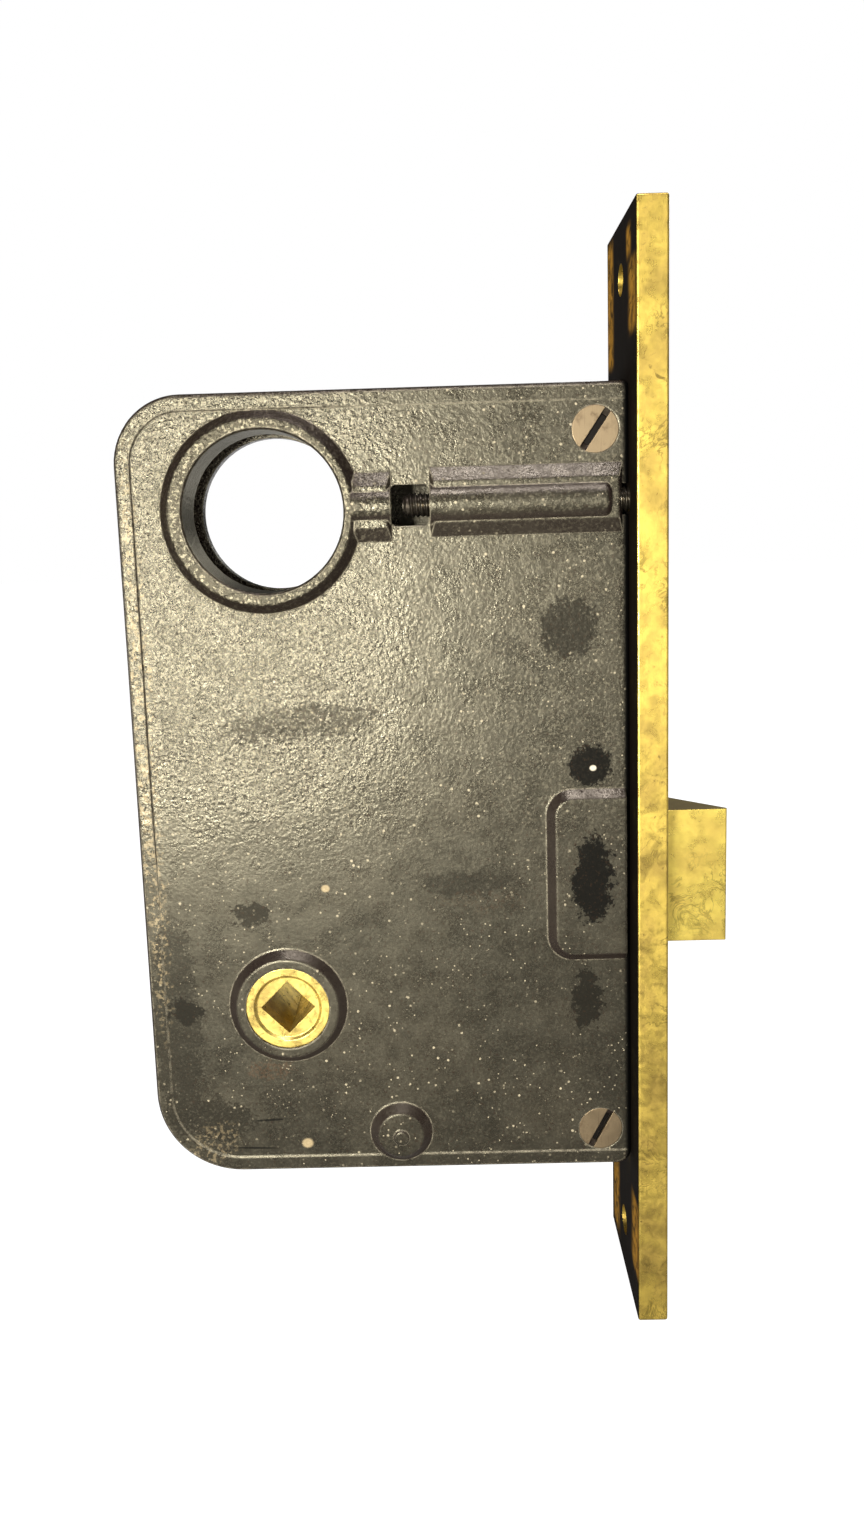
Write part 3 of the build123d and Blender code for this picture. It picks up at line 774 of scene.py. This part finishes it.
def turned_profile(start: Triple, moves: Sequence[Triple]) -> bpy.types.Object:
    """Draws a line of edges from one point by extruding it again and again.

    Args:
        start: The first point in metres.
        moves: The step to each next point.

    Returns:
        The object, in edit mode.
    """
    deselect_all()
    bpy.ops.mesh.primitive_plane_add(size=MM, location=(0, 0, 0))
    bpy.ops.object.mode_set(mode="EDIT")
    bpy.ops.mesh.select_all(action="SELECT")
    bpy.ops.mesh.merge(type="CENTER")
    bpy.ops.transform.translate(value=start)
    for move in moves:
        bpy.ops.mesh.extrude_vertices_move(TRANSFORM_OT_translate={"value": move})
    return bpy.context.object


def wind(piece: bpy.types.Object, rise: float, turns: int, steps: int) -> None:
    """Winds a profile round the X axis with a screw modifier, which is applied.

    Args:
        piece: The profile, beside the X axis.
        rise: How far it goes along X in one turn.
        turns: The number of turns.
        steps: Steps in a turn.
    """
    bpy.ops.object.mode_set(mode="OBJECT")
    screw = piece.modifiers.new("wind", "SCREW")
    screw.axis = "X"
    screw.angle = math.tau
    screw.screw_offset = rise
    screw.iterations = turns
    screw.steps = screw.render_steps = steps
    screw.use_merge_vertices = True
    screw.merge_threshold = 1e-6
    bpy.ops.object.modifier_apply(modifier="wind")


def cut_flat(piece: bpy.types.Object, x: float, keep: Way) -> None:
    """Cuts a piece square across the X axis and fills the cut.

    Args:
        piece: The piece.
        x: The place of the cut in metres.
        keep: REAR keeps what lies behind the cut, FRONT what lies before it.
    """
    deselect_all()
    piece.select_set(True)
    bpy.context.view_layer.objects.active = piece
    bpy.ops.object.mode_set(mode="EDIT")
    bpy.ops.mesh.select_all(action="SELECT")
    bpy.ops.mesh.bisect(plane_co=(x, 0, 0), plane_no=(1, 0, 0), use_fill=True,
                        clear_inner=keep is Way.FRONT, clear_outer=keep is Way.REAR)
    bpy.ops.object.mode_set(mode="OBJECT")


def outward(piece: bpy.types.Object) -> None:
    """Merges doubled points and turns all faces outwards.

    Args:
        piece: The piece.
    """
    deselect_all()
    piece.select_set(True)
    bpy.context.view_layer.objects.active = piece
    bpy.ops.object.mode_set(mode="EDIT")
    bpy.ops.mesh.select_all(action="SELECT")
    bpy.ops.mesh.remove_doubles(threshold=1e-6)
    bpy.ops.mesh.normals_make_consistent(inside=False)
    bpy.ops.object.mode_set(mode="OBJECT")


def paint(piece: bpy.types.Object, material: bpy.types.Material) -> None:
    """Gives a piece one material in all its slots.

    Args:
        piece: The piece.
        material: The material.
    """
    if not piece.material_slots:
        piece.data.materials.append(material)
    for place in piece.material_slots:
        place.material = material


def middle(node: str) -> Vector:
    """The middle of a CAD node's box in metres."""
    low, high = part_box(node)
    return (Vector(low) + Vector(high)) / 2


# ---- Sub-assemblies --------------------------------------------------------------------
@dataclass
class Casting:
    """The cast case, its cap and the screws that hold them."""

    cylinder_x: float = -64.65
    cylinder_z: float = 52.1
    cylinder_r: float = 14.3
    nodes: dict[str, bpy.types.Object] = field(default_factory=dict)

    def dress(self) -> None:
        """Gives the case, the cap and the screws their finishes."""
        bore = ((self.cylinder_x, self.cylinder_z, self.cylinder_r),)
        black, soft_black = (0.004, 0.004, 0.004), (0.010, 0.009, 0.007)
        tan, pale, rust = (0.36, 0.27, 0.14), (0.62, 0.55, 0.40), (0.085, 0.036, 0.014)
        marks = (
            Mark(-7.2, -16.5, 4.2, 9.5, black, 0.92),
            Mark(-7.2, 4.6, 4.6, 4.6, black, 0.9),
            Mark(-11.0, 30.0, 6.5, 6.0, soft_black, 0.75),
            Mark(-22.0, 27.0, 4.0, 3.0, soft_black, 0.5),
            Mark(-60.0, 14.0, 17.0, 3.6, soft_black, 0.55, turn=0.10),
            Mark(-30.0, -17.0, 10.0, 3.0, soft_black, 0.6),
            Mark(-27.0, -20.5, 10.0, 2.4, rust, 0.22),
            Mark(-8.2, -40.0, 3.2, 7.0, soft_black, 0.85),
            Mark(-84.5, -40.7, 3.4, 3.4, soft_black, 0.85),
            Mark(-71.0, -22.0, 4.0, 2.4, soft_black, 0.75),
            Mark(-86.0, -45.0, 5.5, 26.0, soft_black, 0.6),
            Mark(-79.0, -63.0, 8.0, 5.0, soft_black, 0.6),
            Mark(-68.5, -52.8, 5.5, 2.2, rust, 0.35),
            Mark(-62.3, -68.1, 1.2, 1.1, tan, 0.95),
            Mark(-56.7, -17.3, 0.9, 0.8, tan, 0.9),
            Mark(-6.8, 4.3, 0.7, 0.6, pale, 1.0),
            Mark(-69.3, -63.2, 3.6, 0.28, black, 0.85, turn=0.05),
            Mark(-72.5, -68.9, 5.0, 0.24, black, 0.8, turn=-0.03),
            Mark(-80.5, -68.0, 7.0, 4.0, tan, 0.30, turn=0.7, broken=True),
            Mark(-88.5, 10.0, 2.2, 60.0, tan, 0.55, broken=True),
        )
        # painted shade: the ring round the cylinder is darkened
        rings = ((self.cylinder_x - 0.5, self.cylinder_z, 17.5),)
        japan = Japan("black_japan_case", marks=marks, shaded_bores=bore, shaded_rings=rings)
        cap_marks = (
            Mark(-48.0, 10.0, 14.0, 9.0, soft_black, 0.6),
            Mark(-25.0, -35.0, 9.0, 14.0, soft_black, 0.55),
            Mark(-70.0, -62.0, 12.0, 4.0, tan, 0.6, broken=True),
            Mark(-10.0, 20.0, 5.0, 30.0, tan, 0.45, broken=True),
            Mark(-63.0, -54.5, 6.0, 2.0, rust, 0.8),
        )
        cap_japan = Japan("black_japan_cap", seed=31.0, marks=cap_marks, out=Way.FAR,
                          shaded_bores=bore)
        steel = Steel("screw_steel", (0.26, 0.23, 0.19), graining=Graining.NONE, slot_from=8.3,
                      seed=3)
        bronze = Steel("lug_screw_bronze", (0.22, 0.162, 0.09), (0.12, 0.082, 0.045),
                       Graining.ALONG_Z, 0.50, (0.40, 0.55), 8.35, seed=6)
        for node, material in (("case_body", japan.material()), ("case_cap", cap_japan.material()),
                               ("cap_screws", steel.material()), ("lug_screws", bronze.material())):
            paint(self.nodes[node], material)
            LOG.info("dressed %s", node)


@dataclass
class Front:
    """The brass front."""

    nodes: dict[str, bpy.types.Object] = field(default_factory=dict)

    def dress(self) -> None:
        """Gives the front bright edges and face, and darkens its rear face and its ends."""
        bands = ((12.0, 3.8, 79.0, 99.0), (-12.0, 3.8, 82.0, 91.0), (-8.5, 2.5, 95.0, 97.0),
                 (10.0, 3.8, -98.0, -84.0), (-12.5, 3.8, -92.0, -80.0))
        brass = Brass("front_brass", amber_bands=bands,
                      dark_ways=((Way.REAR, 1.0), (Way.UP, 0.5), (Way.DOWN, 0.5)))
        paint(self.nodes["front_plate"], brass.material())
        LOG.info("dressed front_plate")


@dataclass
class SetScrew:
    """The long threaded screw that locks the cylinder."""

    radius: float = 2.2
    depth: float = 0.42
    pitch: float = 0.9
    slot_width: float = 1.2
    slot_depth: float = 1.0
    slot_turn: float = 35.0
    tip_length: float = 0.8

    def build(self) -> bpy.types.Object:
        """Models the screw with its thread, its slot and its tapered tip.

        Returns:
            The piece.
        """
        low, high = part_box("cylinder_set_screw")
        axis_y, axis_z = middle("cylinder_set_screw").y, middle("cylinder_set_screw").z
        length = high[0] - low[0]
        pitch, crest = self.pitch * MM, self.radius * MM
        root = crest - self.depth * MM
        start = (low[0] - 2 * pitch, 0, root)
        flank = pitch * 0.40
        piece = turned_profile(start, ((flank, 0, self.depth * MM), (pitch * 0.12, 0, 0),
                                       (flank, 0, -self.depth * MM), (pitch * 0.08, 0, 0)))
        wind(piece, pitch, math.ceil(length / pitch) + 4, 40)
        piece.name = piece.data.name = "set_screw_threaded"
        cut_flat(piece, low[0], Way.FRONT)
        cut_flat(piece, high[0], Way.REAR)
        outward(piece)
        self.taper_tip(piece, low[0], root)
        piece.location = (0, axis_y, axis_z)
        settle(piece)
        self.cut_slot(piece, high[0], axis_y, axis_z)
        smooth(piece, 40)
        return piece

    def taper_tip(self, piece: bpy.types.Object, tip_x: float, root: float) -> None:
        """Draws the end in, as the chamfer on a screw's point does.

        Args:
            piece: The screw, about the X axis.
            tip_x: The point's X in metres.
            root: The thread's root radius in metres.
        """
        length = self.tip_length * MM
        limit = [(tip_x + length * step / 4, root * (0.78 + 0.08 * step)) for step in range(4)]
        select_where(piece, lambda co: co.x < tip_x + length)
        bpy.ops.object.mode_set(mode="OBJECT")
        for vertex in piece.data.vertices:
            if vertex.select:
                radius = math.hypot(vertex.co.y, vertex.co.z)
                wanted = min(r for x, r in limit if vertex.co.x <= x + length / 4 + 1e-9)
                if radius > wanted:
                    vertex.co.y *= wanted / radius
                    vertex.co.z *= wanted / radius

    def cut_slot(self, piece: bpy.types.Object, head_x: float, y: float, z: float) -> None:
        """Cuts the screwdriver slot in the head with a boolean that is applied.

        Args:
            piece: The screw.
            head_x: The head's X in metres.
            y: The axis's Y.
            z: The axis's Z.
        """
        deselect_all()
        bpy.ops.mesh.primitive_cube_add(size=1, location=(head_x, y, z),
                                        rotation=(math.radians(self.slot_turn), 0, 0))
        cutter = name_piece("slot_cutter")
        cutter.scale = (2 * self.slot_depth * MM, 9 * MM, self.slot_width * MM)
        settle(cutter)
        deselect_all()
        piece.select_set(True)
        bpy.context.view_layer.objects.active = piece
        cut = piece.modifiers.new("slot", "BOOLEAN")
        cut.operation, cut.solver, cut.object = "DIFFERENCE", "EXACT", cutter
        bpy.ops.object.modifier_apply(modifier="slot")
        bpy.data.objects.remove(cutter)

    def place(self) -> None:
        """Builds and dresses the screw, and sets it on its body."""
        screw = self.build()
        oily = Steel("set_screw_steel", (0.10, 0.085, 0.060), (0.028, 0.021, 0.014),
                     Graining.NONE, 0.44, (0.24, 0.42))
        paint(screw, oily.material())
        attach(screw, "set_screw")
        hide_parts("cylinder_set_screw")
        LOG.info("built %s with %d faces", screw.name, len(screw.data.polygons))


@dataclass
class CoilSpring:
    """A compression spring along X with close, ground end turns."""

    node: str
    wire: float
    turns: int
    joint: str
    keep: float
    finish: Steel

    def build(self) -> bpy.types.Object:
        """Models the spring: a round wire wound open in the middle and close at both ends.

        Returns:
            The piece.
        """
        low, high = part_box(self.node)
        centre = middle(self.node)
        wire = self.wire * MM
        mean = (high[1] - low[1]) / 2 - wire
        open_turns = self.turns - 2
        close = 2 * wire * 1.04
        rise = (high[0] - low[0] - 2 * close) / open_turns
        parts = []
        for number, (start, step, count) in enumerate((
            (low[0], close, 1), (low[0] + close, rise, open_turns), (high[0] - close, close, 1),
        )):
            deselect_all()
            bpy.ops.mesh.primitive_circle_add(vertices=12, radius=wire, location=(start, 0, mean),
                                              rotation=(math.pi / 2, 0, 0))
            part = name_piece(f"{self.node}_turns_{number}")
            settle(part)
            wind(part, step, count, 32)
            parts.append(part)
        deselect_all()
        for part in parts:
            part.select_set(True)
        bpy.context.view_layer.objects.active = parts[0]
        bpy.ops.object.join()
        piece = name_piece(f"{self.node}_coils")
        outward(piece)
        cut_flat(piece, low[0] + wire * 0.35, Way.FRONT)
        cut_flat(piece, high[0] - wire * 0.35, Way.REAR)
        self.stretch(piece, low[0], high[0])
        piece.location = (0, centre.y, centre.z)
        settle(piece)
        outward(piece)
        smooth(piece, 50)
        return piece

    def stretch(self, piece: bpy.types.Object, low_x: float, high_x: float) -> None:
        """Draws the spring out so that its ground ends reach the CAD solid's.

        Args:
            piece: The spring.
            low_x: The rear end in metres.
            high_x: The front end in metres.
        """
        xs = [vertex.co.x for vertex in piece.data.vertices]
        factor = (high_x - low_x) / (max(xs) - min(xs))
        deselect_all()
        piece.select_set(True)
        bpy.context.view_layer.objects.active = piece
        bpy.ops.object.mode_set(mode="EDIT")
        bpy.ops.mesh.select_all(action="SELECT")
        bpy.ops.transform.translate(value=(low_x - min(xs), 0, 0))
        bpy.ops.transform.resize(value=(factor, 1, 1), center_override=(low_x, 0, 0))
        bpy.ops.object.mode_set(mode="OBJECT")

    def place(self) -> None:
        """Builds and dresses the spring and sets it on the lock case's body."""
        spring = self.build()
        paint(spring, self.finish.material())
        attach(spring, "lock_case")
        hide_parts(self.node)
        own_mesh(spring)
        LOG.info("built %s with %d faces", spring.name, len(spring.data.polygons))


@dataclass
class Mechanism:
    """The latch bolt, the hub, the levers and everything else that lies in the case."""

    nodes: dict[str, bpy.types.Object] = field(default_factory=dict)

    def dress(self) -> None:
        """Gives each piece its finish."""
        # painted shade: the latch bolt's faces that face up and down are darkened to dark brown
        rubbed = Brass("latch_brass", bright=(0.80, 0.61, 0.12), dull=(0.60, 0.43, 0.09),
                       graining=Graining.ALONG_X, mottle=3.4, tarnish_low=0.66,
                       dark_ways=((Way.UP, 0.85), (Way.DOWN, 0.7)), rough=(0.24, 0.40), seed=40)
        turned = Brass("hub_brass", bright=(0.80, 0.60, 0.15), dull=(0.48, 0.34, 0.09),
                       graining=Graining.NONE, mottle=1.6, tarnish_low=0.64, rough=(0.26, 0.44),
                       seed=50)
        cast = Brass("lever_brass", bright=(0.62, 0.43, 0.11), dull=(0.36, 0.24, 0.07),
                     graining=Graining.NONE, mottle=2.0, rough=(0.38, 0.58), seed=60)
        drawn = Steel("tail_steel", seed=70).material()
        stamped = Steel("lever_steel", (0.30, 0.285, 0.26), graining=Graining.ALONG_Z,
                        seed=80).material()
        guide = Steel("guide_steel", (0.36, 0.34, 0.31), graining=Graining.NONE, seed=90).material()
        pin = Steel("pin_steel", (0.42, 0.40, 0.37), graining=Graining.NONE, stain_from=0.54,
                    seed=95).material()
        finishes = {
            "latch_bolt": rubbed.material(), "hub": turned.material(),
            "cylinder_lever": cast.material(), "latch_tail": drawn, "latch_crosshead": drawn,
            "hub_lever": stamped, "tail_guide": guide,
            "spring_washer": guide, "hub_lever_washer": guide, "latch_bolt_pin": pin,
            "tail_drive_pin": pin, "hub_lever_stud": pin, "cylinder_lever_stud": pin,
        }
        for node, material in finishes.items():
            paint(self.nodes[node], material)
            LOG.info("dressed %s", node)

    def wind_springs(self) -> None:
        """Builds the latch spring and the hub lever's spring."""
        blued = Steel("spring_steel", (0.16, 0.165, 0.19), (0.06, 0.045, 0.035), Graining.NONE,
                      0.50, (0.24, 0.42), seed=99)
        CoilSpring("latch_spring", 0.5, 12, "latch_slide", 0.555, blued).place()
        CoilSpring("hub_spring", 0.35, 7, "hub_lever_swing", 0.58, blued).place()


# ---- The studio ------------------------------------------------------------------------
@dataclass(frozen=True)
class SoftBox:
    """One rectangular soft light, in metres and watts."""

    name: str
    place: Triple
    aim: Triple
    width: float
    height: float
    power: float
    colour: Colour = (1.0, 1.0, 1.0)

    def hang(self) -> None:
        """Adds the light, turned towards its aim."""
        data = bpy.data.lights.new(self.name, "AREA")
        data.shape, data.size, data.size_y = "RECTANGLE", self.width, self.height
        data.energy, data.color = self.power, self.colour
        lamp = bpy.data.objects.new(self.name, data)
        bpy.context.scene.collection.objects.link(lamp)
        lamp.location = self.place
        sight = Vector(self.aim) - Vector(self.place)
        lamp.rotation_euler = sight.to_track_quat("-Z", "Y").to_euler()


@dataclass
class Studio:
    """The floor, the lights and the camera."""

    eye: Triple = (-0.03258, -0.20289, 0.04760)
    turn: Triple = (81.8132, 1.6815, 0.6974)
    lens: float = 25.40
    shift: float = -0.0514
    sky: float = 0.08
    floor_glow: float = 0.10
    floor_white: float = 0.95
    floor_gap: float = 0.0003
    lights: tuple[SoftBox, ...] = (
        SoftBox("key_box", (-0.230, -0.60, 0.025), (-0.05, 0, 0.02), 0.15, 0.18, 7.2),
        SoftBox("edge_box", (0.19, -0.60, -0.08), (0.0, 0, 0.0), 0.12, 0.95, 1.20),
        SoftBox("ceiling_box", (0.02, -0.26, 0.62), (-0.03, 0, 0.02), 0.36, 0.06, 2.6,
                (0.88, 0.84, 1.0)),
        SoftBox("back_box", (0.35, 0.60, 0.50), (-0.04, 0, 0), 0.5, 0.5, 4.0),
    )

    def set_up(self) -> None:
        """Makes the studio round the lock."""
        self.lay_floor()
        for light in self.lights:
            light.hang()
        self.paint_walls()
        bpy.context.scene.view_settings.view_transform = "Standard"
        self.stand_camera()

    def paint_walls(self) -> None:
        """Makes the walls: white behind the lock, and a dim grey room for it to mirror."""
        world = bpy.data.worlds.new("studio")
        world.use_nodes = True
        tree = world.node_tree
        dim, mixer = tree.nodes["Background"], tree.nodes.new("ShaderNodeMixShader")
        white, path = tree.nodes.new("ShaderNodeBackground"), tree.nodes.new("ShaderNodeLightPath")
        for background, strength in ((dim, self.sky), (white, 1.0)):
            background.inputs["Color"].default_value = (1.0, 1.0, 1.0, 1.0)
            background.inputs["Strength"].default_value = strength
        tree.links.new(path.outputs["Is Camera Ray"], mixer.inputs[0])
        tree.links.new(dim.outputs[0], mixer.inputs[1])
        tree.links.new(white.outputs[0], mixer.inputs[2])
        tree.links.new(mixer.outputs[0], tree.nodes["World Output"].inputs["Surface"])
        bpy.context.scene.world = world

    def lay_floor(self) -> None:
        """Lays a wide pale floor under the lock."""
        low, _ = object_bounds()
        deselect_all()
        bpy.ops.mesh.primitive_plane_add(size=8.0, location=(0, 0, low[2] - self.floor_gap))
        floor = name_piece("floor")
        settle(floor)
        sketch = Sketch("pale_floor")
        tone = sketch.blend(sketch.noise(90.0, 2), (0.25, 0.25, 0.25), (0.28, 0.28, 0.28))
        normal = sketch.bump(sketch.noise(2.0, 2), 0.004)
        far = sketch.round_about((0, 0, 0), (1, 1, 0), 200.0, 1200.0)
        glow = sketch.level(far, 0.0, 1.0, 1.05, self.floor_glow)
        seen = sketch.add("ShaderNodeLightPath").outputs["Is Camera Ray"]
        glow = sketch.sum("MAXIMUM", glow, sketch.every(seen, self.floor_white))
        sketch.put(sketch.shader, "Emission Strength", glow)
        paint(floor, sketch.finish(tone, 0.8, normal, Emission_Color=(1.0, 1.0, 1.0)))
        floor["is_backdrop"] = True

    def stand_camera(self) -> None:
        """Sets the camera at its viewing angle."""
        data = bpy.data.cameras.new("camera")
        data.lens, data.shift_y, data.clip_start = self.lens, self.shift, 0.01
        camera = bpy.data.objects.new("camera", data)
        bpy.context.scene.collection.objects.link(camera)
        camera.location = self.eye
        camera.rotation_euler = [math.radians(angle) for angle in self.turn]
        bpy.context.scene.camera = camera


def main() -> None:
    """Builds the lock's looks on its frame, part by part."""
    logging.basicConfig(level=logging.INFO, format="%(name)s: %(message)s")
    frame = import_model()
    nodes = frame["nodes"]
    Casting(nodes=nodes).dress()
    Front(nodes=nodes).dress()
    SetScrew().place()
    mechanism = Mechanism(nodes=nodes)
    mechanism.dress()
    mechanism.wind_springs()
    Studio().set_up()


if __name__ == "__main__":
    main()
